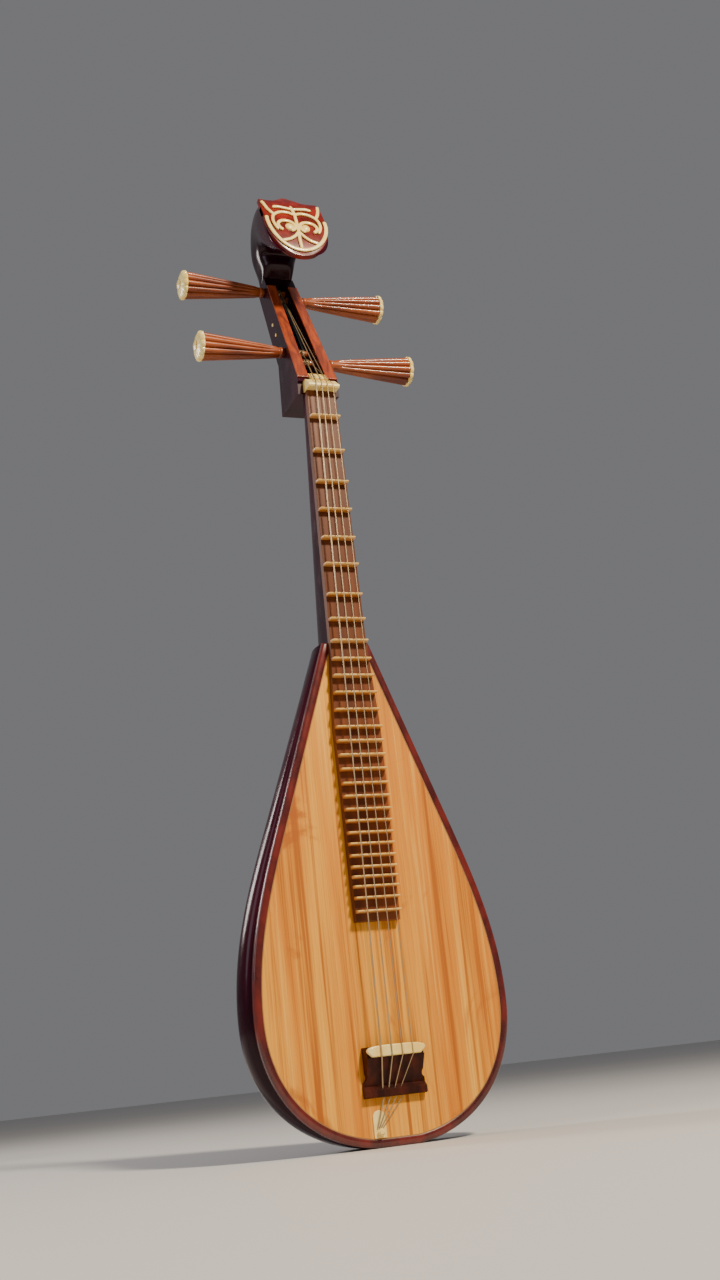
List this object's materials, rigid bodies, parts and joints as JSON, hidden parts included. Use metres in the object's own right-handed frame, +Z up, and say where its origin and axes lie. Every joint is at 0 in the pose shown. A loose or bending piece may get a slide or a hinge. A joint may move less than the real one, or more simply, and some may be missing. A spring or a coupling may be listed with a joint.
{
  "type": "four-string pear-shaped lute",
  "caption": "Pear-shaped plucked lute with a raised fingerboard of tall thin frets, fluted tuning pegs in a bent-back peg box and a hooked head with a bone ornament.",
  "frame": {"origin": "middle of the small flat at the bottom end of the body", "axes": "+Z up along the neck, -Y out of the soundboard towards the player, +X to the right seen from the front"},
  "size_m": [0.29, 0.1405, 1.0834],
  "materials": {
    "black_lacquer": "deep red-black lacquer, glossy",
    "soundboard_wood": "straight-grained pale wood, thin satin varnish",
    "red_binding": "dark red lacquered edge",
    "pale_line": "thin pale line",
    "inside_wood": "bare planed wood",
    "fingerboard_wood": "oiled brown wood",
    "fret_bamboo": "polished bamboo",
    "bone": "polished bone",
    "dark_wood": "dark polished wood",
    "rosewood": "polished rosewood",
    "red_lacquer": "red lacquer, glossy",
    "string_wire": "wound string"
  },
  "bodies": {
    "root": {"back_shell": "black_lacquer", "soundboard": "soundboard_wood", "edge_binding": "red_binding", "purfling": "pale_line", "rim_lining": "inside_wood", "neck_block": "inside_wood", "tail_block": "inside_wood", "brace_upper": "inside_wood", "brace_middle": "inside_wood", "brace_lower": "inside_wood", "sound_post": "inside_wood", "neck": "black_lacquer", "fingerboard": "fingerboard_wood", "nut": "bone", "neck_fret_1": "fret_bamboo", "neck_fret_2": "fret_bamboo", "neck_fret_3": "fret_bamboo", "neck_fret_4": "fret_bamboo", "neck_fret_5": "fret_bamboo", "neck_fret_6": "fret_bamboo", "neck_fret_7": "fret_bamboo", "neck_fret_8": "fret_bamboo", "upper_body_frets": "fret_bamboo", "lower_body_frets": "fret_bamboo", "bridge_block": "dark_wood", "bridge_cap": "bone", "tail_guard": "bone", "hitch_pin": "bone", "pegbox": "black_lacquer", "pegbox_facing_left": "rosewood", "pegbox_facing_right": "rosewood", "pegbox_back_cover": "black_lacquer", "cover_pins": "bone", "cheek_inlays": "bone", "head": "black_lacquer", "head_panel": "red_lacquer", "head_ornament": "bone", "head_eyes": "bone", "string_1": "string_wire", "string_2": "string_wire", "string_3": "string_wire", "string_4": "string_wire"},
    "peg_1": {"peg_1": "rosewood", "peg_cap_1": "bone", "winding_1": "string_wire"},
    "peg_2": {"peg_2": "rosewood", "peg_cap_2": "bone", "winding_2": "string_wire"},
    "peg_3": {"peg_3": "rosewood", "peg_cap_3": "bone", "winding_3": "string_wire"},
    "peg_4": {"peg_4": "rosewood", "peg_cap_4": "bone", "winding_4": "string_wire"}
  },
  "joints": [
    {"name": "peg_1_turn", "type": "hinge", "parent": "root", "child": "peg_1", "pos_m": [0, 0.01015, 0.87472], "axis": [-1, 0, 0], "continuous": true},
    {"name": "peg_2_turn", "type": "hinge", "parent": "root", "child": "peg_2", "pos_m": [0, 0.06516, 0.98361], "axis": [-1, 0, 0], "continuous": true},
    {"name": "peg_3_turn", "type": "hinge", "parent": "root", "child": "peg_3", "pos_m": [0, 0.05885, 0.97112], "axis": [1, 0, 0], "continuous": true},
    {"name": "peg_4_turn", "type": "hinge", "parent": "root", "child": "peg_4", "pos_m": [0, 0.00203, 0.85865], "axis": [1, 0, 0], "continuous": true}
  ]
}
